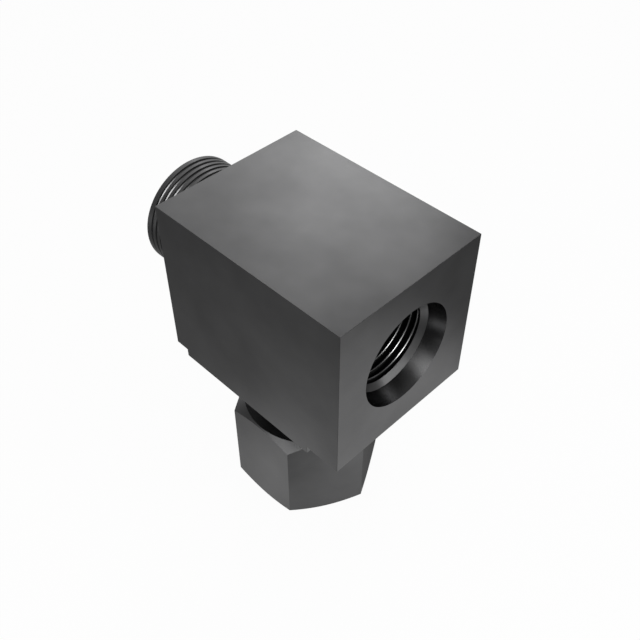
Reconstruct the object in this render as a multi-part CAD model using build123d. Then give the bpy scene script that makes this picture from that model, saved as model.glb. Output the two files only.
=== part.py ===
"""Square-bodied tee adapter with a face seal stud, a straight thread port and a swivel nut.

Millimetres. +Z is up and +X points out of the threaded port. The branch axis is the Z axis,
and the origin is the centre of the swivel nut's open end, which is the end it stands on.
"""

from build123d import *
from math import radians, tan
import os

# Square bar that the body is milled from
bar_width = 25.4
stud_shoulder_to_branch = 15.0
branch_to_port_face = 18.35
branch_land_width = 25.4
branch_land_projection = 1.3
edge_break = 0.1

# Face seal stud, 11/16 inch across its thread
stud_length = 9.8
stud_thread_diameter = 17.46
stud_end_chamfer = 0.25
stud_relief_width = 1.8
stud_relief_diameter = 15.6

# Seal ring, and the groove that it sits in on the end face of the stud
seal_section = 1.78
seal_inside_diameter = 9.25
seal_groove_side_clearance = 0.045
seal_groove_width = 2.35
seal_stands_proud = 0.42
seal_floor_clearance = 0.01

# Straight thread port, 9/16 inch, with its tapered seal seat
port_mouth_diameter = 15.65
port_seat_depth = 2.6
port_thread_diameter = 14.35
port_tapped_diameter = 12.84
port_tapped_depth = 13.0
drill_point_angle = 118.0

# Flow passages
run_bore_diameter = 6.7
branch_bore_diameter = 6.7
bore_mouth_chamfer = 0.3

# Branch neck that the nut turns on, ending in a flat sealing nose
neck_diameter = 14.8
bare_neck_length = 8.3
nose_chamfer = 0.6
nose_above_nut_mouth = 8.3

# Swivel nut, 13/16 inch across flats
nut_across_flats = 20.64
nut_height = 17.05
nut_chamfer_angle = 30.0
nut_chamfer_inset = 0.22
nut_thread_diameter = 17.6
nut_tapped_diameter = 15.75
nut_thread_end_before_nose = 0.1
nut_relief_width = 1.6
nut_mouth_countersink = 0.15
nut_running_clearance = 0.08
nut_back_bore_chamfer = 0.35

# Split spring ring of square section that keeps the nut on the neck
ring_height = 1.5
ring_radial_width = 1.3
ring_side_clearance = 0.05
ring_outer_clearance = 0.05
ring_below_nut_back = 2.6
ring_grip_in_nut = 0.67
ring_closing_clearance = 0.1
ring_gap_angle = 20.0
ring_gap_direction = 150.0

# Heights and places that follow from the sizes above
land_z = nut_height + bare_neck_length
run_z = land_z + branch_land_projection + bar_width / 2
nose_z = nose_above_nut_mouth
ring_z = nut_height - ring_below_nut_back
shoulder_x = -stud_shoulder_to_branch
stud_end_x = shoulder_x - stud_length
port_face_x = branch_to_port_face
nut_bore_radius = neck_diameter / 2 + nut_running_clearance
ring_outer_radius = nut_bore_radius + ring_grip_in_nut
ring_groove_height = ring_height + 2 * ring_side_clearance

# Cutting outlines run this far past the face that they open on
overshoot = 1.0


def turned_on_run(points):
    """A closed outline of (x, radius) points, turned about the run axis."""
    outline = Polyline(*[(x, 0, radius) for x, radius in points], close=True)
    return Pos(0, 0, run_z) * revolve(make_face(outline), axis=Axis.X)


def turned_on_branch(points):
    """A closed outline of (z, radius) points, turned about the branch axis."""
    outline = Polyline(*[(radius, 0, z) for z, radius in points], close=True)
    return revolve(make_face(outline), axis=Axis.Z)


def broken_edge_box(length, width, height):
    """A square-cornered block with its sharp edges lightly broken."""
    block = Box(length, width, height)
    return chamfer(block.edges(), edge_break)


def milled_bar():
    """The run of square bar and the square land that the branch neck stands on."""
    bar_length = port_face_x - shoulder_x
    bar = broken_edge_box(bar_length, bar_width, bar_width)
    land_height = run_z - land_z
    land = broken_edge_box(branch_land_width, bar_width, land_height)
    bar = Pos((port_face_x + shoulder_x) / 2, 0, run_z) * bar
    return bar + Pos(0, 0, land_z + land_height / 2) * land


def stud_blank():
    """The stud at its thread's outside diameter, with the thread relief at the shoulder."""
    outer = stud_thread_diameter / 2
    relief = stud_relief_diameter / 2
    relief_end_x = shoulder_x - stud_relief_width
    return turned_on_run(
        [
            (0, 0),
            (0, relief),
            (relief_end_x + outer - relief, relief),
            (relief_end_x, outer),
            (stud_end_x + stud_end_chamfer, outer),
            (stud_end_x, outer - stud_end_chamfer),
            (stud_end_x, 0),
        ]
    )


def neck_blank():
    """The neck from the land down to its flat sealing nose."""
    radius = neck_diameter / 2
    return turned_on_branch(
        [
            (nose_z, 0),
            (nose_z, radius - nose_chamfer),
            (nose_z + nose_chamfer, radius),
            (run_z, radius),
            (run_z, 0),
        ]
    )


def seal_groove():
    """The face groove that holds the seal ring."""
    outer = seal_inside_diameter / 2 + seal_section + seal_groove_side_clearance
    inner = outer - seal_groove_width
    floor_x = stud_end_x + seal_section - seal_stands_proud
    outside_x = stud_end_x - overshoot
    return turned_on_run(
        [
            (outside_x, inner),
            (floor_x, inner),
            (floor_x, outer),
            (outside_x, outer),
        ]
    )


def port_cavity():
    """Seal seat, lead-in chamfer, tapped hole and drill point, cut in from the port face."""
    mouth = port_mouth_diameter / 2
    seat_foot = port_thread_diameter / 2
    tapped = port_tapped_diameter / 2
    bore = run_bore_diameter / 2
    seat_x = port_face_x - port_seat_depth
    floor_x = port_face_x - port_tapped_depth
    point_length = (tapped - bore) / tan(radians(drill_point_angle / 2))
    flare = (mouth - seat_foot) / port_seat_depth * overshoot
    return turned_on_run(
        [
            (floor_x - point_length, 0),
            (floor_x - point_length, bore),
            (floor_x, tapped),
            (seat_x - (seat_foot - tapped), tapped),
            (seat_x, seat_foot),
            (port_face_x, mouth),
            (port_face_x + overshoot, mouth + flare),
            (port_face_x + overshoot, 0),
        ]
    )


def run_passage():
    """The drilled way from the stud's end face through to the tapped hole."""
    radius = run_bore_diameter / 2
    wide = radius + bore_mouth_chamfer
    return turned_on_run(
        [
            (stud_end_x - overshoot, 0),
            (stud_end_x - overshoot, wide + overshoot),
            (stud_end_x, wide),
            (stud_end_x + bore_mouth_chamfer, radius),
            (port_face_x - port_tapped_depth, radius),
            (port_face_x - port_tapped_depth, 0),
        ]
    )


def branch_passage():
    """The drilled way from the nose up into the run."""
    radius = branch_bore_diameter / 2
    wide = radius + bore_mouth_chamfer
    return turned_on_branch(
        [
            (nose_z - overshoot, 0),
            (nose_z - overshoot, wide + overshoot),
            (nose_z, wide),
            (nose_z + bore_mouth_chamfer, radius),
            (run_z, radius),
            (run_z, 0),
        ]
    )


def square_ring(inner_radius, outer_radius, height):
    """A ring of rectangular section about the branch axis, level with the spring ring."""
    low = ring_z - height / 2
    high = ring_z + height / 2
    return turned_on_branch(
        [
            (low, inner_radius),
            (low, outer_radius),
            (high, outer_radius),
            (high, inner_radius),
        ]
    )


def neck_ring_groove():
    """The neck's groove, deep enough for the ring to close into as the nut goes on."""
    floor_radius = nut_bore_radius - ring_radial_width - ring_closing_clearance
    return square_ring(floor_radius, neck_diameter / 2 + overshoot, ring_groove_height)


def nut_ring_groove():
    """The nut's shallower groove, which the sprung-out ring locks into."""
    floor_radius = ring_outer_radius + ring_outer_clearance
    return square_ring(nut_bore_radius - overshoot, floor_radius, ring_groove_height)


def make_tee_body():
    """Bar, stud and neck as one machined piece, with every groove and passage cut in it."""
    body = milled_bar() + stud_blank() + neck_blank()
    body -= seal_groove()
    body -= port_cavity()
    body -= run_passage()
    body -= branch_passage()
    body -= neck_ring_groove()
    return body


def hexagon_bar():
    """Hexagon bar with its corners turned off at both ends, one corner on the X axis."""
    prism = extrude(RegularPolygon(nut_across_flats / 2, 6, major_radius=False), nut_height)
    circle = nut_across_flats / 2 - nut_chamfer_inset
    reach = nut_across_flats
    rise = (reach - circle) * tan(radians(nut_chamfer_angle))
    turning = turned_on_branch(
        [
            (0, 0),
            (0, circle),
            (rise, reach),
            (nut_height - rise, reach),
            (nut_height, circle),
            (nut_height, 0),
        ]
    )
    return prism & turning


def nut_bore():
    """Countersink, tapped hole, thread relief and the plain bore that runs on the neck."""
    tapped = nut_tapped_diameter / 2
    relief = nut_thread_diameter / 2
    mouth = relief + nut_mouth_countersink
    thread_end_z = nose_z - nut_thread_end_before_nose
    relief_end_z = thread_end_z + nut_relief_width
    back = nut_bore_radius + nut_back_bore_chamfer
    return turned_on_branch(
        [
            (-overshoot, 0),
            (-overshoot, mouth + overshoot),
            (0, mouth),
            (mouth - tapped, tapped),
            (thread_end_z, tapped),
            (thread_end_z, relief),
            (relief_end_z, relief),
            (relief_end_z + relief - nut_bore_radius, nut_bore_radius),
            (nut_height - nut_back_bore_chamfer, nut_bore_radius),
            (nut_height, back),
            (nut_height + overshoot, back + overshoot),
            (nut_height + overshoot, 0),
        ]
    )


def make_swivel_nut():
    """Hexagon nut, open at the mouth and running on the neck at the back."""
    return hexagon_bar() - nut_bore() - nut_ring_groove()


def make_retaining_ring():
    """Split spring ring, sprung out into the nut's groove and reaching into the neck's."""
    ring = square_ring(ring_outer_radius - ring_radial_width, ring_outer_radius, ring_height)
    gap_width = 2 * ring_outer_radius * tan(radians(ring_gap_angle / 2))
    gap = Pos(ring_outer_radius, 0, ring_z) * Box(2 * ring_outer_radius, gap_width, 2 * ring_height)
    return ring - Rot(0, 0, ring_gap_direction) * gap


def make_face_seal():
    """Seal ring in its groove, against the outer wall and proud of the end face."""
    mean_radius = (seal_inside_diameter + seal_section) / 2
    centre_x = stud_end_x + seal_section / 2 - seal_stands_proud - seal_floor_clearance
    return Pos(centre_x, 0, run_z) * Rot(0, 90, 0) * Torus(mean_radius, seal_section / 2)


os.makedirs("parts", exist_ok=True)
pieces = {
    "tee_body": make_tee_body(),
    "swivel_nut": make_swivel_nut(),
    "retaining_ring": make_retaining_ring(),
    "face_seal": make_face_seal(),
}
for name, solid in pieces.items():
    export_step(solid, f"parts/{name}.step")
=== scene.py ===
# %% [markdown]
# # A steel tee adapter
#
# The part is a hydraulic tee milled from square bar. A threaded stud points one way along
# the run, a threaded port opens the other way, and a hexagon nut turns on the branch below.
# The packed CAD model is loaded first and stays where it is. What follows gives the machined
# pieces their real threads and their dark plated finish, one step to a cell.

import math

import bmesh
import bpy
import numpy as np
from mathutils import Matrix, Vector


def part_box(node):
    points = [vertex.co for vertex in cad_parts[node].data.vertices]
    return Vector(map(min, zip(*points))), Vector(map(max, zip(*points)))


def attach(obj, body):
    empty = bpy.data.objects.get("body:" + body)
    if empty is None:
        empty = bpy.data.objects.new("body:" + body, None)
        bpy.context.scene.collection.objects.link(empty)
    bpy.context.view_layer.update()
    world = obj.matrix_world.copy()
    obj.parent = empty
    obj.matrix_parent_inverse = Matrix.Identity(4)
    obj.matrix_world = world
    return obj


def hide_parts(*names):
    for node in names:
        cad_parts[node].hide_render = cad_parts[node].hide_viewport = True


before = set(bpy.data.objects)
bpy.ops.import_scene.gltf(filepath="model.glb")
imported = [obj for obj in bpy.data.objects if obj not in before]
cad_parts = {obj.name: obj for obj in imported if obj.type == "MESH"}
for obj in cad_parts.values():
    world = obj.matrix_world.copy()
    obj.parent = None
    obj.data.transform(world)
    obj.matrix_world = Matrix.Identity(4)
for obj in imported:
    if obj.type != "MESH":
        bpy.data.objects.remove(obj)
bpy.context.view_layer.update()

# %% [markdown]
# The sizes are the CAD model's own, in millimetres, repeated here because the finished
# surfaces are worked out from them. Angles go round each axis in the same number of steps
# everywhere, so that neighbouring surfaces share their edge points exactly. The number
# divides by 8 for the corners of the square bar and by 6 for the corners of the nut.

# %% Sizes shared by every surface
MM = 0.001
STEPS_ROUND = 144
BAR_HALF = 12.7
LAND_HALF = 12.7
LAND_HEIGHT = 1.3
NUT_HEIGHT = 17.05
NECK_SHOWN = 8.3
SHOULDER_X = -15.0
STUD_LENGTH = 9.8
PORT_X = 18.35
BORE_RADIUS = 3.35
BORE_CHAMFER = 0.3

LAND_Z = NUT_HEIGHT + NECK_SHOWN
BAR_BOTTOM_Z = LAND_Z + LAND_HEIGHT
RUN_Z = BAR_BOTTOM_Z + BAR_HALF
BAR_TOP_Z = RUN_Z + BAR_HALF
STUD_END_X = SHOULDER_X - STUD_LENGTH

turn_angles = np.arange(STEPS_ROUND + 1) * 2 * np.pi / STEPS_ROUND
body_low, body_high = (np.array(corner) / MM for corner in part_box("tee_body"))
print("stud end to port face:", round(body_high[0] - body_low[0], 2), "mm in the CAD model,",
      round(PORT_X - STUD_END_X, 2), "mm here")
print("nose to top face:", round(body_high[2] - body_low[2], 2), "mm in the CAD model")

# %% [markdown]
# Every machined surface here is a sheet: a rectangular grid of points, bent into place. A
# sheet along the run or the branch is given by a place along the axis and a radius for each
# grid point. The helper below joins neighbouring grid points into four-sided faces, and the
# weld merges the points that two sheets share, so that a piece ends up as one closed skin.
# Open edges would show as holes, so the weld counts them: there should be none.

# %% Sheets and the weld
WELD_DISTANCE = 0.0004


class Skin:
    """Collects grids of points and welds them into one closed mesh."""

    def __init__(self):
        self.points = []
        self.faces = []
        self.count = 0

    def add(self, grid):
        """A grid of shape (rows, columns, 3): each cell becomes a face of its four corners."""
        rows, columns = grid.shape[:2]
        index = np.arange(rows * columns).reshape(rows, columns) + self.count
        corners = (index[:-1, :-1], index[:-1, 1:], index[1:, 1:], index[1:, :-1])
        self.faces.append(np.stack(corners, axis=-1).reshape(-1, 4))
        self.points.append(grid.reshape(-1, 3))
        self.count += rows * columns

    def weld(self, name):
        """One mesh object in metres, its doubled points merged and its faces turned outwards."""
        mesh = bpy.data.meshes.new(name)
        points = np.concatenate(self.points) * MM
        mesh.from_pydata(points, [], np.concatenate(self.faces))
        work = bmesh.new()
        work.from_mesh(mesh)
        bmesh.ops.remove_doubles(work, verts=work.verts, dist=WELD_DISTANCE * MM)
        bmesh.ops.dissolve_degenerate(work, edges=work.edges, dist=WELD_DISTANCE * MM)
        bmesh.ops.recalc_face_normals(work, faces=work.faces)
        open_edges = sum(len(edge.link_faces) != 2 for edge in work.edges)
        volume = work.calc_volume(signed=True) / MM**3
        work.to_mesh(mesh)
        work.free()
        piece = bpy.data.objects.new(name, mesh)
        bpy.context.collection.objects.link(piece)
        print(name, "faces", len(mesh.polygons), "open edges", open_edges,
              "volume", round(volume, 1))
        return piece


def about_run(along, radius, angle):
    """Points at (x, radius, angle): y is radius times cosine, z is the run's height plus sine."""
    along, radius, angle = np.broadcast_arrays(along, radius, angle)
    return np.stack([along, radius * np.cos(angle), RUN_Z + radius * np.sin(angle)], axis=-1)


def about_branch(along, radius, angle):
    """Points at (z, radius, angle): x is radius times cosine, y is radius times sine."""
    along, radius, angle = np.broadcast_arrays(along, radius, angle)
    return np.stack([radius * np.cos(angle), radius * np.sin(angle), along], axis=-1)


def turned(place, outline):
    """A turned surface: each (along, radius) of the outline is carried once round the axis."""
    along, radius = np.array(outline, dtype=float).T
    return place(along[:, None], radius[:, None], turn_angles[None, :])


print("points in one turn:", len(turn_angles))

# %% [markdown]
# A screw thread is one ridge wound round and round. Cut the wall along its axis and it shows
# a row of teeth, one pitch apart. The same row is there at every angle, only shifted along by
# the part of a turn that has gone by. So the sheet's rows follow the ridge: a row starts at
# one place along the axis and climbs by one pitch in a full turn, where it meets the row that
# started one pitch further on. Rows past either end are held back at the end, and the depth
# fades out there, as a lathe tool or a tap leaves it.

# %% A helical thread
def tooth_profile(crest_share, root_share, worn_share, worn_depth):
    """Places in one pitch, 0 to 1, with the depth share there.

    The tooth has a flat crest, a straight flank, a flat root and a flank back up. Each corner
    of the crest is worn off over a small share of the pitch, down to a small share of the depth.
    """
    flank = (1 - crest_share - root_share) / 2
    places = np.array([0, crest_share, crest_share + worn_share, crest_share + flank,
                       1 - flank, 1 - worn_share])
    return places, np.array([0.0, 0.0, worn_depth, 1.0, 1.0, worn_depth])


def threaded(place, pitch, crest_place, ends, radii, fades, tooth):
    """A thread between two places along an axis, with a crest at crest_place at angle 0.

    The row at v lies at u = v + pitch * angle / full turn, held between the two ends. Its
    radius goes from the crest to the root by the tooth's depth, times a fade that rises from
    0 at the first end and falls to 0 at the last.
    """
    (start, end), (crest_radius, root_radius) = ends, radii
    places, depth = tooth
    first_turn = math.floor((start - crest_place) / pitch) - 1
    turns = np.arange(first_turn, math.ceil((end - crest_place) / pitch) + 1)
    v = (crest_place + pitch * (turns[:, None] + places[None, :])).ravel()
    depth = np.tile(depth, len(turns))
    u = v[:, None] + pitch * turn_angles[None, :] / (2 * np.pi)
    u = np.clip(u, start, end)
    fade = np.clip((u - start) / fades[0], 0, 1) * np.clip((end - u) / fades[1], 0, 1)
    radius = crest_radius + (root_radius - crest_radius) * depth[:, None] * fade
    print("thread of", len(turns), "turns, rows", u.shape[0])
    return place(u, radius, turn_angles[None, :])


# %% [markdown]
# A face of the bar with a round hole in it is a sheet too: one edge follows the hole and the
# other the square, and the rows between blend from one to the other. Both edges are stepped
# by the same angles, which puts a point exactly on each corner of the square. The plain faces
# take the same steps along their sides, so that they share those points.

# %% Faces of the bar
def square_outline(half):
    """Points (a, b) on a square: half its side over the larger of |cosine| and |sine| away."""
    cosine, sine = np.cos(turn_angles), np.sin(turn_angles)
    reach = half / np.maximum(np.abs(cosine), np.abs(sine))
    return reach * cosine, reach * sine


def face_with_hole(place_flat, hole_radius, half, rows=5):
    """A flat ring: each row is a mix of the hole's circle and the square, at the same angle."""
    blend = np.linspace(0, 1, rows)[:, None]
    square_a, square_b = square_outline(half)
    a = (1 - blend) * hole_radius * np.cos(turn_angles) + blend * square_a
    b = (1 - blend) * hole_radius * np.sin(turn_angles) + blend * square_b
    return place_flat(a, b)


def flat_sheet(place_flat, first, second):
    """A flat grid: every pair of a place from the first list and one from the second."""
    a, b = np.meshgrid(first, second, indexing="ij")
    return place_flat(a, b)


def at_x(x):
    """Puts a pair (y, height above the run axis) on the plane of that x."""
    return lambda a, b: np.stack([np.full_like(a, x), a, RUN_Z + b], axis=-1)


def at_y(y):
    """Puts a pair (x, z) on the plane of that y."""
    return lambda a, b: np.stack([a, np.full_like(a, y), b], axis=-1)


def at_z(z):
    """Puts a pair (x, y) on the plane of that z."""
    return lambda a, b: np.stack([a, b, np.full_like(a, z)], axis=-1)


side_steps = BAR_HALF * np.tan(np.linspace(-np.pi / 4, np.pi / 4, STEPS_ROUND // 4 + 1))
bar_steps = np.concatenate([[SHOULDER_X], side_steps, [PORT_X]])
print("points across one side of the bar:", len(side_steps))

# %% [markdown]
# The body is one piece of steel, so it becomes one skin. It is put together the way it was
# machined: the bar first, then the stud, the port and the neck, and last the drilled passages.
# Under the bar stays a square land, a little proud of it, where the mill stopped. It could be
# a box cut with booleans, but those leave long thin faces that shade badly round a hole.

# %% The bar and its land
PORT_MOUTH_RADIUS = 7.825
STUD_RELIEF_RADIUS = 7.8
NECK_RADIUS = 7.4
NECK_ROOT_RADIUS = 0.5

body = Skin()
body.add(face_with_hole(at_x(PORT_X), PORT_MOUTH_RADIUS, BAR_HALF))
body.add(face_with_hole(at_x(SHOULDER_X), STUD_RELIEF_RADIUS, BAR_HALF))
body.add(face_with_hole(at_z(LAND_Z), NECK_RADIUS + NECK_ROOT_RADIUS, LAND_HALF))
body.add(flat_sheet(at_z(BAR_TOP_Z), bar_steps, side_steps))
land_heights = np.array([LAND_Z, BAR_BOTTOM_Z])
for side in (-BAR_HALF, BAR_HALF):
    body.add(flat_sheet(at_y(side), bar_steps, RUN_Z + side_steps))
    body.add(flat_sheet(at_y(side), side_steps, land_heights))
    body.add(flat_sheet(at_x(side), side_steps, land_heights - RUN_Z))
body.add(flat_sheet(at_z(BAR_BOTTOM_Z), bar_steps[:2], side_steps))
body.add(flat_sheet(at_z(BAR_BOTTOM_Z), bar_steps[-2:], side_steps))
print("sheets in the bar and its land:", len(body.faces))

# %% [markdown]
# The stud carries an outside thread, and a groove in its end face holds a rubber ring that
# seals flat on the next fitting. A lathe turns all of it from one outline, so two turned
# sheets give the relief at the shoulder and the grooved end, with the thread between them.
# The stud's tooth isn't even. After a broad crest comes a steep flank, which looks dark from
# above, then a gentler foot, which catches the light as a fine line. Both show in the
# photograph, so the outline of one tooth is written out place by place.

# %% The stud and its end face
STUD_RADIUS = 8.73
STUD_ROOT_RADIUS = 8.4
STUD_PITCH = 1.0
STUD_CREST_X = -23.70
STUD_PLAIN_END = 0.6
STUD_RELIEF_LENGTH = 1.8
STUD_THREAD_X = (STUD_END_X + STUD_PLAIN_END, SHOULDER_X - STUD_RELIEF_LENGTH)
STUD_THREAD_FADES = (0.25, 0.1)
STUD_END_CHAMFER = 0.12
SEAL_GROOVE_OUTER = 6.45
SEAL_GROOVE_INNER = 4.1
SEAL_GROOVE_DEPTH = 1.36
stud_tooth = (
    np.array([0.0, 0.5, 0.59, 0.748, 0.78]),     # ends of the crest, flank, foot and root
    np.array([0.0, 0.0, 0.61, 1.0, 1.0]),        # share of the depth at each
)
relief_ramp = STUD_RADIUS - STUD_RELIEF_RADIUS

body.add(turned(about_run, [
    (SHOULDER_X, STUD_RELIEF_RADIUS),
    (STUD_THREAD_X[1] + relief_ramp, STUD_RELIEF_RADIUS),
    (STUD_THREAD_X[1], STUD_RADIUS),
]))
body.add(threaded(about_run, STUD_PITCH, STUD_CREST_X, STUD_THREAD_X,
                  (STUD_RADIUS, STUD_ROOT_RADIUS), STUD_THREAD_FADES, stud_tooth))
body.add(turned(about_run, [
    (STUD_THREAD_X[0], STUD_RADIUS),
    (STUD_END_X + STUD_END_CHAMFER, STUD_RADIUS),
    (STUD_END_X, STUD_RADIUS - STUD_END_CHAMFER),
    (STUD_END_X, SEAL_GROOVE_OUTER),
    (STUD_END_X + SEAL_GROOVE_DEPTH, SEAL_GROOVE_OUTER),
    (STUD_END_X + SEAL_GROOVE_DEPTH, SEAL_GROOVE_INNER),
    (STUD_END_X, SEAL_GROOVE_INNER),
    (STUD_END_X, BORE_RADIUS + BORE_CHAMFER),
    (STUD_END_X + BORE_CHAMFER, BORE_RADIUS),
]))

# %% [markdown]
# The port takes a straight-threaded fitting with a rubber ring behind its thread. The ring is
# squeezed into a tapered seat at the mouth: a long, slightly narrowing wall and a short cone
# down to the thread. Further in come the tapped hole, its drilled floor and the drill's point.
# A tap leaves narrow crests, which wear at their corners, so this tooth is a plain even one with
# its corners worn off. The thread fades out before the floor, as a tap's does.

# %% The port
PORT_TAPPED_RADIUS = 6.42
PORT_ROOT_RADIUS = 7.14
PORT_SEAT_RADIUS = 7.175
PORT_SEAT_DEPTH = 2.6
PORT_DEPTH = 13.0
PORT_SEAT_X = PORT_X - PORT_SEAT_DEPTH
PORT_THREAD_X = 14.995
PORT_FLOOR_X = PORT_X - PORT_DEPTH
PORT_PLAIN_END = 1.2
PORT_POINT_X = 3.505
PORT_PITCH = 1.07
PORT_CREST_X = 13.375
PORT_THREAD_FADES = (1.5, 0.05)
port_tooth = tooth_profile(crest_share=0.04, root_share=0.1, worn_share=0.1, worn_depth=0.075)

body.add(turned(about_run, [
    (PORT_X, PORT_MOUTH_RADIUS),
    (PORT_SEAT_X, PORT_SEAT_RADIUS),
    (PORT_THREAD_X, PORT_TAPPED_RADIUS),
]))
body.add(threaded(about_run, PORT_PITCH, PORT_CREST_X,
                  (PORT_FLOOR_X + PORT_PLAIN_END, PORT_THREAD_X),
                  (PORT_TAPPED_RADIUS, PORT_ROOT_RADIUS), PORT_THREAD_FADES, port_tooth))
body.add(turned(about_run, [
    (PORT_FLOOR_X + PORT_PLAIN_END, PORT_TAPPED_RADIUS),
    (PORT_FLOOR_X, PORT_TAPPED_RADIUS),
    (PORT_POINT_X, BORE_RADIUS),
]))

# %% [markdown]
# The neck carries the nut. It leaves the land with a small rounded root, which keeps it from
# cracking there, and has a square groove for the split ring that holds the nut on. Its nose is
# flat, to press on the seal of a fitting below. It is turned work again: one outline from the
# root to the nose, with the root's quarter circle worked out from its radius.

# %% The neck and its nose
NOSE_Z = 8.3
NOSE_CHAMFER = 0.6
RING_GROOVE_Z = (13.65, 15.25)
RING_GROOVE_RADIUS = 6.08

root_angle = np.linspace(np.pi / 2, 0, 7)
root_fillet = np.stack([
    LAND_Z - NECK_ROOT_RADIUS * (1 - np.sin(root_angle)),
    NECK_RADIUS + NECK_ROOT_RADIUS * (1 - np.cos(root_angle)),
], axis=1)
body.add(turned(about_branch, [
    *root_fillet,
    (RING_GROOVE_Z[1], NECK_RADIUS),
    (RING_GROOVE_Z[1], RING_GROOVE_RADIUS),
    (RING_GROOVE_Z[0], RING_GROOVE_RADIUS),
    (RING_GROOVE_Z[0], NECK_RADIUS),
    (NOSE_Z + NOSE_CHAMFER, NECK_RADIUS),
    (NOSE_Z, NECK_RADIUS - NOSE_CHAMFER),
    (NOSE_Z, BORE_RADIUS + BORE_CHAMFER),
    (NOSE_Z + BORE_CHAMFER, BORE_RADIUS),
]))
print("sheets so far:", len(body.faces), "from nose to land", round(LAND_Z - NOSE_Z, 2), "mm")

# %% [markdown]
# Oil flows through all three ends, so the passages are real and meet in the middle. The run
# and the branch are drilled to one size, so the edges where they meet lie on two slanting
# planes: at each angle the run's wall starts as far from the centre as the drill's depth below
# the axis. With that edge known, each wall is a sheet from its end up to the edge, and no
# boolean is needed. These sheets close the skin, so the body is welded here.

# %% The drilled passages
def run_bore(end_x, rows=9):
    """The run's wall, from one end in to the bore's radius times the sine below the axis."""
    meet = np.sign(end_x) * BORE_RADIUS * np.maximum(-np.sin(turn_angles), 0)
    blend = np.linspace(0, 1, rows)[:, None]
    return about_run((1 - blend) * end_x + blend * meet, BORE_RADIUS, turn_angles[None, :])


def branch_bore(end_z, rows=9):
    """The branch's wall, from its end up to the radius times the cosine below the run axis."""
    meet = RUN_Z - BORE_RADIUS * np.abs(np.cos(turn_angles))
    blend = np.linspace(0, 1, rows)[:, None]
    return about_branch((1 - blend) * end_z + blend * meet, BORE_RADIUS, turn_angles[None, :])


body.add(run_bore(PORT_POINT_X))
body.add(run_bore(STUD_END_X + BORE_CHAMFER))
body.add(branch_bore(NOSE_Z + BORE_CHAMFER))
tee = body.weld("machined_tee_body")
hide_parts("tee_body")
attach(tee, "tee")

# %% [markdown]
# The nut starts as hexagon bar. On a lathe both ends are turned to a cone of 30 degrees,
# which cuts the corners back and leaves the curved edges that every nut shows. Seen from its
# axis, a hexagon's wall is half the width across flats divided by the cosine of the angle
# from the nearest flat. The cone reaches that wall sooner on a flat than at a corner.

# %% The hexagon's outside
NUT_HALF = 10.32
NUT_END_STEP = 0.22
NUT_END_RADIUS = NUT_HALF - NUT_END_STEP
CHAMFER_SLOPE = math.tan(math.radians(30))


def nut_outside(rows_up=9, rows_on_cone=5):
    """The nut's turned ends and flats, from one end face's edge to the other's.

    The wall's radius is half the width across flats over the cosine of the angle from the
    nearest flat. The cone rises from the end face by its slope times how far the wall is out,
    and the flat goes straight from one cone to the other.
    """
    from_flat = np.mod(turn_angles, np.pi / 3) - np.pi / 6
    wall = NUT_HALF / np.cos(from_flat)
    cut = (wall - NUT_END_RADIUS) * CHAMFER_SLOPE
    cone = np.linspace(0, 1, rows_on_cone)[:, None]
    cone_z, cone_radius = cone * cut, NUT_END_RADIUS + cone * (wall - NUT_END_RADIUS)
    up = np.linspace(0, 1, rows_up)[1:-1, None]
    flat_z = cut + up * (NUT_HEIGHT - 2 * cut)
    flat_radius = np.broadcast_to(wall, flat_z.shape)
    along = np.concatenate([cone_z, flat_z, NUT_HEIGHT - cone_z[::-1]])
    radius = np.concatenate([cone_radius, flat_radius, cone_radius[::-1]])
    return about_branch(along, radius, turn_angles[None, :])


nut = Skin()
nut.add(nut_outside())
print("nut across corners:", round(2 * NUT_HALF / math.cos(math.pi / 6), 2), "mm")

# %% [markdown]
# Inside, the nut is tapped from its open end, then relieved so that the tap can run out, and
# bored smooth at its back, where it turns on the neck. The neck's groove has its partner here,
# and the split ring sits in both. The bore is one outline with the thread let in, closed by
# the edges of the two end faces, so the nut's skin is welded at once.

# %% The nut's bore
NUT_TAPPED_RADIUS = 7.875
NUT_ROOT_RADIUS = 8.6
NUT_RELIEF_RADIUS = 8.8
NUT_RUNNING_RADIUS = 7.48
NUT_COUNTERSINK = 8.95
NUT_THREAD_Z = (NUT_COUNTERSINK - NUT_TAPPED_RADIUS, 8.2)
NUT_THREAD_FADES = (0.1, 0.1)
NUT_RELIEF_END_Z = 9.8
NUT_RING_GROOVE = 8.2
NUT_BACK_CHAMFER = 0.35

nut.add(turned(about_branch, [
    (0, NUT_END_RADIUS),
    (0, NUT_COUNTERSINK),
    (NUT_THREAD_Z[0], NUT_TAPPED_RADIUS),
]))
nut.add(threaded(about_branch, STUD_PITCH, 0, NUT_THREAD_Z,
                 (NUT_TAPPED_RADIUS, NUT_ROOT_RADIUS), NUT_THREAD_FADES, port_tooth))
nut.add(turned(about_branch, [
    (NUT_THREAD_Z[1], NUT_TAPPED_RADIUS),
    (NUT_THREAD_Z[1], NUT_RELIEF_RADIUS),
    (NUT_RELIEF_END_Z, NUT_RELIEF_RADIUS),
    (NUT_RELIEF_END_Z + NUT_RELIEF_RADIUS - NUT_RUNNING_RADIUS, NUT_RUNNING_RADIUS),
    (RING_GROOVE_Z[0], NUT_RUNNING_RADIUS),
    (RING_GROOVE_Z[0], NUT_RING_GROOVE),
    (RING_GROOVE_Z[1], NUT_RING_GROOVE),
    (RING_GROOVE_Z[1], NUT_RUNNING_RADIUS),
    (NUT_HEIGHT - NUT_BACK_CHAMFER, NUT_RUNNING_RADIUS),
    (NUT_HEIGHT, NUT_RUNNING_RADIUS + NUT_BACK_CHAMFER),
    (NUT_HEIGHT, NUT_END_RADIUS),
]))
hexagon_nut = nut.weld("hexagon_swivel_nut")
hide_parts("swivel_nut")
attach(hexagon_nut, "nut")

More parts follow.
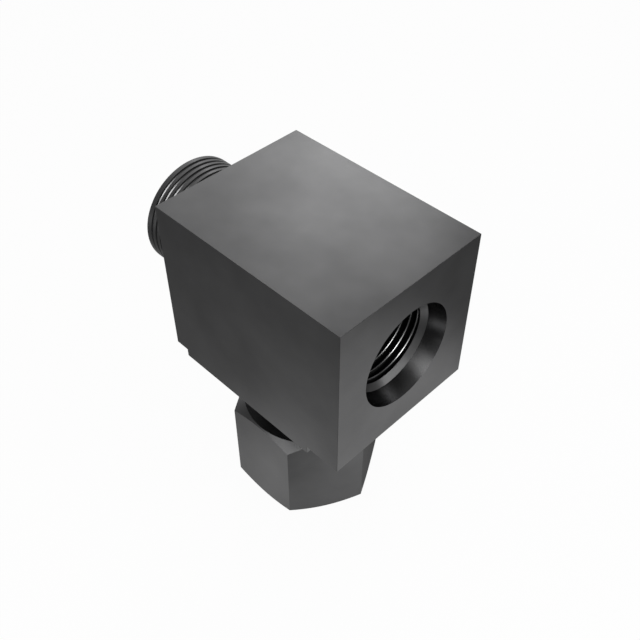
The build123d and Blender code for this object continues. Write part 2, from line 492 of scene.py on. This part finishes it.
# %% [markdown]
# The seal in the stud's end is a moulded rubber ring of round section. A ring is a circle
# carried round a circle, and the mould's two halves leave a fine line at its widest and
# narrowest, which a slight swelling of the section gives.

# %% The face seal
SEAL_MEAN_RADIUS = 5.515
SEAL_RADIUS = 0.89
SEAL_PROUD = 0.43
SEAL_X = STUD_END_X + SEAL_RADIUS - SEAL_PROUD
MOULD_LINE_HEIGHT = 0.03
MOULD_LINE_WIDTH = 0.09


def moulded_ring(steps=48):
    """A ring of round section about the run, with a low ridge where the mould parted.

    The section's radius is the seal's, less the ridge's height, plus that height times the
    bell curve of the sine of the angle round the section over the ridge's width.
    """
    section = np.linspace(0, 2 * np.pi, steps + 1)[:, None]
    ridge = MOULD_LINE_HEIGHT * np.exp(-((np.sin(section) / MOULD_LINE_WIDTH) ** 2))
    swell = SEAL_RADIUS - MOULD_LINE_HEIGHT + ridge
    return about_run(SEAL_X + swell * np.sin(section), SEAL_MEAN_RADIUS + swell * np.cos(section),
                     turn_angles[None, :])


seal_skin = Skin()
seal_skin.add(moulded_ring())
seal = seal_skin.weld("moulded_face_seal")
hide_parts("face_seal")
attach(seal, "tee")

# %% [markdown]
# A mill or a lathe leaves crisp edges, but never perfectly sharp ones: they are broken with a
# file so that they don't cut a hand. On the bar's outer edges a tiny bevel does that, only a
# twentieth of a millimetre wide, because the real edges look crisp. Everywhere else the
# edges stay as the tool left them, and only faces that meet gently are shaded as one.

# %% Edge breaks and smooth shading
EDGE_BREAK = 0.05
ON_PLANE = 0.002
SHARP_ANGLE = 25
body_planes = [
    (0, SHOULDER_X), (0, PORT_X),
    (1, -BAR_HALF), (1, BAR_HALF),
    (2, BAR_BOTTOM_Z), (2, BAR_TOP_Z),
    (0, -LAND_HALF), (0, LAND_HALF), (2, LAND_Z),
]


def outer_edges(mesh, planes):
    """1 for each edge whose two ends both lie on the same two of these planes, else 0."""
    places = np.empty(len(mesh.vertices) * 3)
    mesh.vertices.foreach_get("co", places)
    places = places.reshape(-1, 3) / MM
    on_plane = np.stack([np.abs(places[:, axis] - value) < ON_PLANE for axis, value in planes],
                        axis=1)
    ends = np.empty(len(mesh.edges) * 2, dtype=int)
    mesh.edges.foreach_get("vertices", ends)
    first, second = ends.reshape(-1, 2).T
    shared = (on_plane[first] & on_plane[second]).sum(axis=1)
    return (shared >= 2).astype(np.float32)


for piece in (tee, hexagon_nut, seal):
    piece.data.shade_smooth()
    piece.data.set_sharp_from_angle(angle=math.radians(SHARP_ANGLE))
weights = outer_edges(tee.data, body_planes)
layer = tee.data.attributes.new("bevel_weight_edge", "FLOAT", "EDGE")
layer.data.foreach_set("value", weights)
breaker = tee.modifiers.new("edge break", "BEVEL")
breaker.limit_method = "WEIGHT"
breaker.width = EDGE_BREAK * MM
breaker.segments = 2
breaker.harden_normals = True
print("edges broken:", int(weights.sum()))

# %% [markdown]
# Materials are small networks of nodes. The class below lets the sums in them be written as
# ordinary expressions: it wraps a socket, and each operator adds the Math node it stands for.
# The reflected forms, whose names start with r, let a plain number come first, as in 1 - mask.

# %% Shader expressions
class Value:
    """A number socket that takes part in sums, each of which adds a Math node."""

    def __init__(self, tree, socket):
        self.tree = tree
        self.socket = socket

    def _math(self, operation, *terms, clamp=False):
        settings = {"operation": operation, "use_clamp": clamp}
        node = self.tree.make("ShaderNodeMath", settings, dict(enumerate(terms)))
        return Value(self.tree, node.outputs[0])

    def __add__(self, other):
        return self._math("ADD", self, other)

    def __radd__(self, other):
        return self._math("ADD", other, self)

    def __sub__(self, other):
        return self._math("SUBTRACT", self, other)

    def __rsub__(self, other):
        return self._math("SUBTRACT", other, self)

    def __mul__(self, other):
        return self._math("MULTIPLY", self, other)

    def __rmul__(self, other):
        return self._math("MULTIPLY", other, self)

    def clipped(self):
        """The same value, kept between 0 and 1."""
        return self._math("ADD", self, 0.0, clamp=True)


print("reflected operators:", [name for name in vars(Value) if name.startswith("__r")])

# %% [markdown]
# A node tree belongs to a material or to the world. The class below starts one empty, and
# adds any node by its kind, its settings and what its sockets get. A few short methods stand
# for the nodes that come back in every finish: noise, one range mapped to another, a mix of
# two colours, a bump, and the shader at the end.

# %% Node trees
class Finish:
    """The node tree of a new material or world, with one method that adds any node."""

    def __init__(self, name, kind="materials"):
        self.owner = getattr(bpy.data, kind).new(name)
        self.owner.use_nodes = True
        self.nodes = self.owner.node_tree.nodes
        self.links = self.owner.node_tree.links
        self.nodes.clear()

    def make(self, kind, settings=None, sockets=None):
        """A node of this kind: its settings first, then the values or links of its sockets."""
        node = self.nodes.new(kind)
        for key, setting in (settings or {}).items():
            setattr(node, key, setting)
        for key, value in (sockets or {}).items():
            self.feed(node.inputs[key], value)
        return node

    def feed(self, socket, value):
        """Sets a socket to a number or colour, or links another node's output to it."""
        if isinstance(value, Value):
            self.links.new(value.socket, socket)
        elif isinstance(value, bpy.types.NodeSocket):
            self.links.new(value, socket)
        else:
            socket.default_value = value

    def object_place(self, scale=(1, 1, 1)):
        """Object coordinates in metres, stretched by a Mapping node."""
        place = self.make("ShaderNodeTexCoord").outputs["Object"]
        mapping = self.make("ShaderNodeMapping", None, {"Vector": place, "Scale": scale})
        return mapping.outputs[0]

    def vector(self, operation, first, second=None):
        """A Vector Math node on one or two vectors."""
        sockets = {0: first} if second is None else {0: first, 1: second}
        return self.make("ShaderNodeVectorMath", {"operation": operation}, sockets).outputs

    def clouds(self, place, scale, detail=2.0, roughness=0.5):
        """Soft noise between 0 and 1."""
        sockets = {"Vector": place, "Scale": scale, "Detail": detail, "Roughness": roughness}
        return Value(self, self.make("ShaderNodeTexNoise", None, sockets).outputs["Fac"])

    def spread(self, value, low, high, to_low, to_high):
        """The value mapped from one range to another, held at its ends."""
        sockets = {"Value": value, "From Min": low, "From Max": high,
                   "To Min": to_low, "To Max": to_high}
        return Value(self, self.make("ShaderNodeMapRange", {"clamp": True}, sockets).outputs[0])

    def rise(self, value, low, high):
        """0 up to one length in mm and 1 from the other on, for a value in metres."""
        return self.spread(value, low * MM, high * MM, 0.0, 1.0)

    def between(self, factor, first, second):
        """A colour between two colours."""
        node = self.make("ShaderNodeMix", {"data_type": "RGBA"}, {0: factor, 6: first, 7: second})
        return node.outputs[2]

    def bump(self, height, strength, distance):
        """Normals bent by a height between 0 and 1, at most this distance in mm."""
        sockets = {"Strength": strength, "Distance": distance * MM, "Height": height}
        return self.make("ShaderNodeBump", None, sockets).outputs[0]

    def principled(self, **sockets):
        """Ends the tree in a Principled shader with these sockets."""
        named = {key.replace("_", " "): value for key, value in sockets.items()}
        shader = self.make("ShaderNodeBsdfPrincipled", None, named)
        self.make("ShaderNodeOutputMaterial", None, {"Surface": shader.outputs[0]})
        return self.owner


def grey(tone, blue=0.0):
    """A grey of this tone, with a trace more blue where asked, as steel has."""
    return (tone, tone, tone + blue, 1)


print("a middle grey:", grey(0.5))

# %% [markdown]
# The steel carries a dark plated coat, satin rather than bright. Looked at closely such a coat
# is never one even grey: it drifts in soft clouds, where the plating ran thicker or thinner,
# and the cutter's marks still show faintly through it. The clouds change the colour and the
# roughness a little, and a very shallow bump bends the reflections with them. A flat grey
# would do from afar, but close to it looks like plastic.

# %% Dark plated steel
CLOUD_SCALE = 80.0
GRAIN_SCALE = 2600.0
MARK_SCALE = 420.0
MARK_STRETCH = (1.0, 1.0, 26.0)
CLOUD_RANGE = (0.3, 0.7)
SATIN_ROUGHNESS = (0.30, 0.34)
GRAIN_ROUGHNESS = 0.04
MARK_ROUGHNESS = 0.03
CLOUD_HEIGHT, MARK_HEIGHT, GRAIN_HEIGHT = 0.6, 0.05, 0.02


def plated_steel(name, dark, light, local_finish=None):
    """Dark satin metal, with a finish of its own in some place where one is given.

    The clouds mix the two greys. The roughness is the clouds' plus what the grain and the
    marks stand above or below their middle, and the height is a sum of all three.
    """
    coat = Finish(name)
    place = coat.object_place()
    clouds = coat.clouds(place, CLOUD_SCALE, detail=3.0, roughness=0.55)
    grain = coat.clouds(place, GRAIN_SCALE)
    marks = coat.clouds(coat.object_place(MARK_STRETCH), MARK_SCALE)
    colour = coat.between(coat.spread(clouds, *CLOUD_RANGE, 0.0, 1.0), dark, light)
    roughness = (coat.spread(clouds, *CLOUD_RANGE, *SATIN_ROUGHNESS)
                 + (grain - 0.5) * GRAIN_ROUGHNESS + (marks - 0.5) * MARK_ROUGHNESS)
    if local_finish:
        colour, roughness = local_finish(coat, place, colour, roughness)
    height = clouds * CLOUD_HEIGHT + marks * MARK_HEIGHT + grain * GRAIN_HEIGHT
    print(name, "has", len(coat.nodes), "nodes before its bump and shader")
    return coat.principled(Base_Color=colour, Metallic=1.0, Roughness=roughness,
                           Normal=coat.bump(height, strength=0.25, distance=0.2),
                           Specular_Tint=grey(0.7))


nut_coat = plated_steel("dark_plated_nut_steel", grey(0.07, 0.001), grey(0.1, 0.001))

# %% [markdown]
# The port has a finish of its own. Its thread's crests are painted lighter, a painted highlight
# that stands for the bright lines that light draws on them. Its flanks are painted nearly black,
# a painted shade for the dark deep in the tapped hole. A seat is cut finer than the outside, so
# that a rubber ring seals on it, and is smoother by a third. The port could be a piece with its
# own material, but it is one with the bar. So where each of these begins is read from the
# distance to the run's axis and from the place along it.

# %% The port's painted highlight and shade, and its smoother seat
# Painted highlight and painted shade: a lighter grey for the crests' bright lines, a near black
# for the shade deep in the thread.
PAINTED_CREST_HIGHLIGHT = grey(0.22)
PAINTED_FLANK_SHADE = grey(0.03)
SEAT_SMOOTHER_BY = 0.1
CREST_BAND = (PORT_TAPPED_RADIUS + 0.03, PORT_TAPPED_RADIUS + 0.08)
ROOT_BAND = (PORT_ROOT_RADIUS + 0.01, PORT_ROOT_RADIUS + 0.03)
MOUTH_BAND = (PORT_MOUTH_RADIUS - 0.01, PORT_MOUTH_RADIUS)
FLOOR_BAND = (PORT_FLOOR_X, PORT_FLOOR_X + 1)
THREAD_BAND = (PORT_THREAD_X - 0.02, PORT_THREAD_X)
SEAT_BAND = (PORT_SEAT_X, PORT_SEAT_X + 0.05)


def port_painted_light_and_seat(coat, place, colour, roughness):
    """The colour and roughness of a coat: a painted highlight on the thread's crests, a painted
    shade on its flanks, and a smoother seat.

    The distance from the run's axis is the length of (0, y, z less the run's height). Below
    the crests it is more than the tapped radius, and past the roots more than the root radius.
    """
    from_run = coat.vector("SUBTRACT", place, (0, 0, RUN_Z * MM))[0]
    across = coat.vector("MULTIPLY", from_run, (0, 1, 1))[0]
    radius = Value(coat, coat.vector("LENGTH", across)["Value"])
    along = Value(coat, coat.make("ShaderNodeSeparateXYZ", None, {"Vector": place}).outputs["X"])
    in_thread = coat.rise(along, *FLOOR_BAND) * (1 - coat.rise(along, *THREAD_BAND))
    below_crest = coat.rise(radius, *CREST_BAND)
    above_root = 1 - coat.rise(radius, *ROOT_BAND)
    # Painted highlight: the crests and their worn corners are painted lighter.
    colour = coat.between((1 - below_crest) * in_thread, colour, PAINTED_CREST_HIGHLIGHT)
    # Painted shade: the flanks and roots are painted nearly black.
    colour = coat.between(below_crest * above_root * in_thread, colour, PAINTED_FLANK_SHADE)
    on_seat = coat.rise(along, *SEAT_BAND) * (1 - coat.rise(radius, *MOUTH_BAND))
    return colour, roughness - on_seat * SEAT_SMOOTHER_BY


body_coat = plated_steel("dark_plated_body_steel", grey(0.075, 0.001), grey(0.11, 0.001),
                         port_painted_light_and_seat)

# %% [markdown]
# The split ring is spring steel, ground and tempered, and lighter than the plating. Its CAD
# solid already has the right shape, so it keeps its mesh and only gets a finish. The seal's
# rubber is nearly black. A faint bloom comes to the surface of such rubber with age and makes
# it paler and duller in patches, and its grain is very fine, so noise drives both.

# %% The ring and the rubber
BLOOM_SCALE = 400.0
RUBBER_GRAIN_SCALE = 4000.0
RUBBER_ROUGHNESS = (0.45, 0.6)
ring_coat = plated_steel("tempered_ring_steel", grey(0.2), grey(0.3))

rubber = Finish("moulded_black_rubber")
rubber_place = rubber.object_place()
rubber_bloom = rubber.clouds(rubber_place, BLOOM_SCALE, detail=3.0)
rubber_grain = rubber.clouds(rubber_place, RUBBER_GRAIN_SCALE)
rubber_coat = rubber.principled(
    Base_Color=rubber.between(rubber_bloom, grey(0.012), grey(0.026, 0.001)),
    Roughness=rubber.spread(rubber_bloom, *CLOUD_RANGE, *RUBBER_ROUGHNESS),
    Normal=rubber.bump(rubber_grain, strength=0.2, distance=0.05),
)

for piece, coat in ((tee, body_coat), (hexagon_nut, nut_coat), (seal, rubber_coat)):
    piece.data.materials.append(coat)
ring_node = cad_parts["retaining_ring"]
ring_node.data.materials.clear()
ring_node.data.materials.append(ring_coat)
print("finishes:", [coat.name for coat in (body_coat, nut_coat, ring_coat, rubber_coat)])

# %% [markdown]
# The part stands on a plain white floor that runs off to a white background. The floor is an
# ordinary matt white surface to the light, and mostly plain white to the camera and to the
# steel's reflections, so that only a trace of the part's own shadow shows. More light would
# whiten it too, but would bleach the steel.

# %% Floor
FLOOR_REACH = 3000
FLOOR_Z = -0.01
FLOOR_WHITE = 0.9
FLOOR_GLOW = 0.94


def sees_background(finish):
    """1 for the rays of the camera, of reflections and of glass, else 0."""
    path = finish.make("ShaderNodeLightPath")
    rays = [Value(finish, path.outputs[name])
            for name in ("Is Camera Ray", "Is Glossy Ray", "Is Transmission Ray")]
    return (rays[0] + rays[1] + rays[2]).clipped()


floor_mesh = bpy.data.meshes.new("floor")
floor_ends = np.array([-FLOOR_REACH, FLOOR_REACH]) * MM
floor_x, floor_y = np.meshgrid(floor_ends, floor_ends)
floor_corners = np.stack([floor_x, floor_y, np.full_like(floor_x, FLOOR_Z * MM)], axis=-1)
floor_mesh.from_pydata(floor_corners.reshape(-1, 3), [], [(0, 1, 3, 2)])
floor = bpy.data.objects.new("floor", floor_mesh)
bpy.context.collection.objects.link(floor)

white = Finish("white_floor")
lit = white.make("ShaderNodeBsdfDiffuse", None, {"Color": grey(FLOOR_WHITE)})
plain = white.make("ShaderNodeEmission", None, {"Color": grey(1), "Strength": 1.0})
mixed = white.make("ShaderNodeMixShader", None, {
    0: sees_background(white) * FLOOR_GLOW, 1: lit.outputs[0], 2: plain.outputs[0]})
white.make("ShaderNodeOutputMaterial", None, {"Surface": mixed.outputs[0]})
floor_mesh.materials.append(white.owner)
print("floor", 2 * FLOOR_REACH * MM, "m wide")

# %% [markdown]
# The world does the same as the floor: it lights the part softly from all round, and the rays
# that look straight at it see plain white.

# %% Background
AMBIENT = 0.45

sky = Finish("studio", "worlds")
ambient = sky.make("ShaderNodeBackground", None, {"Color": grey(1), "Strength": AMBIENT})
backdrop = sky.make("ShaderNodeBackground", None, {"Color": grey(1), "Strength": 1.0})
mixed_sky = sky.make("ShaderNodeMixShader", None, {
    0: sees_background(sky), 1: ambient.outputs[0], 2: backdrop.outputs[0]})
sky.make("ShaderNodeOutputWorld", None, {"Surface": mixed_sky.outputs[0]})
bpy.context.scene.world = sky.owner
print("light from all round:", AMBIENT)

# %% [markdown]
# Dark satin metal shows its shape by what it reflects, so the lamps are large soft panels that
# face the part. One stands low behind it, where the top face mirrors it towards the camera, and
# its soft edge gives that face its slow change from light to dark. One on the right lights the
# port's seat. The largest stands in front, near the camera, and draws the bright lines of the
# threads. A panel's place is given from about the middle of the bar, by its angle from +X
# and its height angle.

# %% Lamps
BAR_MIDDLE = (0, 0, 40)
LAMP_DISTANCE = 450


def way(azimuth, elevation):
    """The direction at an angle from +X and a height angle, one unit long."""
    azimuth, elevation = math.radians(azimuth), math.radians(elevation)
    return (math.cos(elevation) * math.cos(azimuth), math.cos(elevation) * math.sin(azimuth),
            math.sin(elevation))


def soft_panel(name, azimuth, elevation, width, height, watts):
    """A rectangular area lamp, its distance times its way from the bar's middle, facing it."""
    lamp = bpy.data.lights.new(name, "AREA")
    lamp.shape = "RECTANGLE"
    lamp.size = width * MM
    lamp.size_y = height * MM
    lamp.energy = watts
    holder = bpy.data.objects.new(name, lamp)
    bpy.context.collection.objects.link(holder)
    place = np.array(BAR_MIDDLE) + LAMP_DISTANCE * np.array(way(azimuth, elevation))
    holder.location = place * MM
    holder.rotation_euler = (math.radians(90 - elevation), 0, math.radians(90 + azimuth))
    print(name, "at", np.round(place), "mm,", watts, "W")


soft_panel("low_back_panel", 130.7, 35.6, 127, 108, 0.188)
soft_panel("right_front_panel", 19.5, 19.2, 357, 77, 0.4)
soft_panel("front_panel", -46, 44, 180, 180, 1.0)

# %% [markdown]
# The walls of the part mirror the floor, and its threads and turned ends mirror what stands
# round it. A studio shapes such reflections with paper, held where the camera doesn't see it.
# Here a sheet of paper is a turned sheet that only reflections see, and its tone glows by
# itself, so that it needs no lamp and puts no light on the part but its reflection. It is an
# open sheet, unlike the part's skins, so the weld counts open edges in it.

# %% Paper that only reflections see
TENT_RADIUS = 600.0


def stage_card(name, outline, tone):
    """A turned sheet of paper, hidden from the camera, from diffuse light and from shadows,
    glowing with the tone of its finish.
    """
    skin = Skin()
    skin.add(turned(about_branch, outline))
    sheet = skin.weld(name)
    for ray_kind in ("visible_camera", "visible_diffuse", "visible_shadow"):
        setattr(sheet, ray_kind, False)
    paper = Finish(name)
    glow = paper.make("ShaderNodeEmission", None, {"Color": tone(paper), "Strength": 1.0})
    paper.make("ShaderNodeOutputMaterial", None, {"Surface": glow.outputs[0]})
    sheet.data.materials.append(paper.owner)


# %% [markdown]
# A grey card lies round the foot. Its grey deepens outwards, so a wall that mirrors it darkens
# towards its top. Patches beside the foot are painted light, glowing pools that brighten the left
# wall and the port's face towards their lower edges. A dark spot under the bar is a painted
# shadow, which keeps the nut's side dark. Far off the card is pale again, apart from a grey gap
# in front, on the side that the camera looks from.

# %% Grey card
CARD_INNER_RADIUS = 10.3
CARD_HEIGHT = 0.05
FOOT = (0, 0)


def patch(paper, centre, full_radius, end_radius, tone, beyond=0.0):
    """A tone that is full within one distance of a place on the card, and fades to another.

    The distance is the length of the way from the place, and the sizes are in mm.
    """
    place = paper.make("ShaderNodeTexCoord").outputs["Object"]
    middle = (centre[0] * MM, centre[1] * MM, 0)
    away = Value(paper, paper.vector("DISTANCE", place, middle)["Value"])
    return paper.spread(away, full_radius * MM, end_radius * MM, tone, beyond)


def card_tone(paper):
    """The grey and its paler patches of painted light added up, then dimmed by the painted shadow
    under the bar.
    """
    # All these tones glow as painted light for reflections: the pale patches are painted pools of
    # light, the spot under the bar a painted shadow.
    plain_grey = patch(paper, FOOT, 40, 106, 0.47, 0.23)
    front_gap = patch(paper, (150, -150), 150, 210, 0.0, 1.0)
    far_pale = patch(paper, FOOT, 110, 180, 0.0, 0.5) * front_gap
    behind = patch(paper, (-100, 100), 70, 115, 0.45)
    painted_light_beside_left_wall = patch(paper, (-1.3, -18.3), 2, 23, 0.79)
    painted_light_before_port_face = patch(paper, (32.7, 12.7), 19, 32, 0.9)
    painted_shadow_under_bar = patch(paper, (11.6, 16.2), 13.9, 16.9, 0.27, 1.0)
    return (plain_grey + far_pale + behind + painted_light_beside_left_wall + painted_light_before_port_face) * painted_shadow_under_bar


stage_card("grey_card", [(CARD_HEIGHT, CARD_INNER_RADIUS), (CARD_HEIGHT, TENT_RADIUS)], card_tone)

# %% [markdown]
# A domed tent of grey paper stands over it all, for the faces that mirror more than the card.
# Three soft glows on it light what looks their way: the one in front the port's cone and its
# thread, the one high on the left the nut's turned corners and the stud's thread, and the one
# behind the far end of the top face.

# %% Paper tent
TENT_TOP_ANGLE = 89.9
TENT_GREY = 0.335


def tent_glow(paper, azimuth, elevation, full_angle, end_angle, tone):
    """A tone that is full within one angle of a direction and gone beyond the other.

    The product of a place with that direction is the tent's radius times the cosine of the
    angle between them.
    """
    place = paper.make("ShaderNodeTexCoord").outputs["Object"]
    product = paper.vector("DOT_PRODUCT", place, way(azimuth, elevation))["Value"]
    full, end = (math.cos(math.radians(angle)) * TENT_RADIUS * MM
                 for angle in (full_angle, end_angle))
    return paper.spread(Value(paper, product), end, full, 0.0, tone)


def tent_tone(paper):
    """Grey paper, lit from in front, from high on the left and, less, from behind."""
    front = tent_glow(paper, -48.5, 38, 16, 29.5, 2.4)
    high_left = tent_glow(paper, -112, 66, 12, 19, 2.2)
    back = tent_glow(paper, 157, 20, 28, 38, 1.0)
    return front + high_left + back + TENT_GREY


climb = np.radians(np.linspace(0, TENT_TOP_ANGLE, 25))
tent_outline = TENT_RADIUS * np.stack([np.sin(climb), np.cos(climb)], axis=1)
stage_card("paper_tent", tent_outline, tent_tone)

# %% [markdown]
# The camera's place, direction and lens were worked out from the corners of the block in the
# photograph: the view is from 45 degrees to the left of the port and 45 degrees above.

# %% Camera
CAMERA_PLACE = (62.69, -60.25, 119.97)
CAMERA_AZIMUTH = 44.96
CAMERA_ELEVATION = 45.07
CAMERA_SENSOR = 36.0
CAMERA_LENS = 48.10
CAMERA_NEAR = 1

camera_data = bpy.data.cameras.new("camera")
camera_data.sensor_width = CAMERA_SENSOR
camera_data.lens = CAMERA_LENS
camera_data.clip_start = CAMERA_NEAR * MM
camera = bpy.data.objects.new("camera", camera_data)
bpy.context.collection.objects.link(camera)
camera.location = np.array(CAMERA_PLACE) * MM
camera.rotation_euler = (math.radians(90 - CAMERA_ELEVATION), 0, math.radians(CAMERA_AZIMUTH))
bpy.context.scene.camera = camera
bpy.context.scene.view_settings.view_transform = "Standard"
print("camera", round(math.dist(CAMERA_PLACE, BAR_MIDDLE), 1), "mm from the bar's middle")

# %% [markdown] The finished surfaces must not change the object's size.
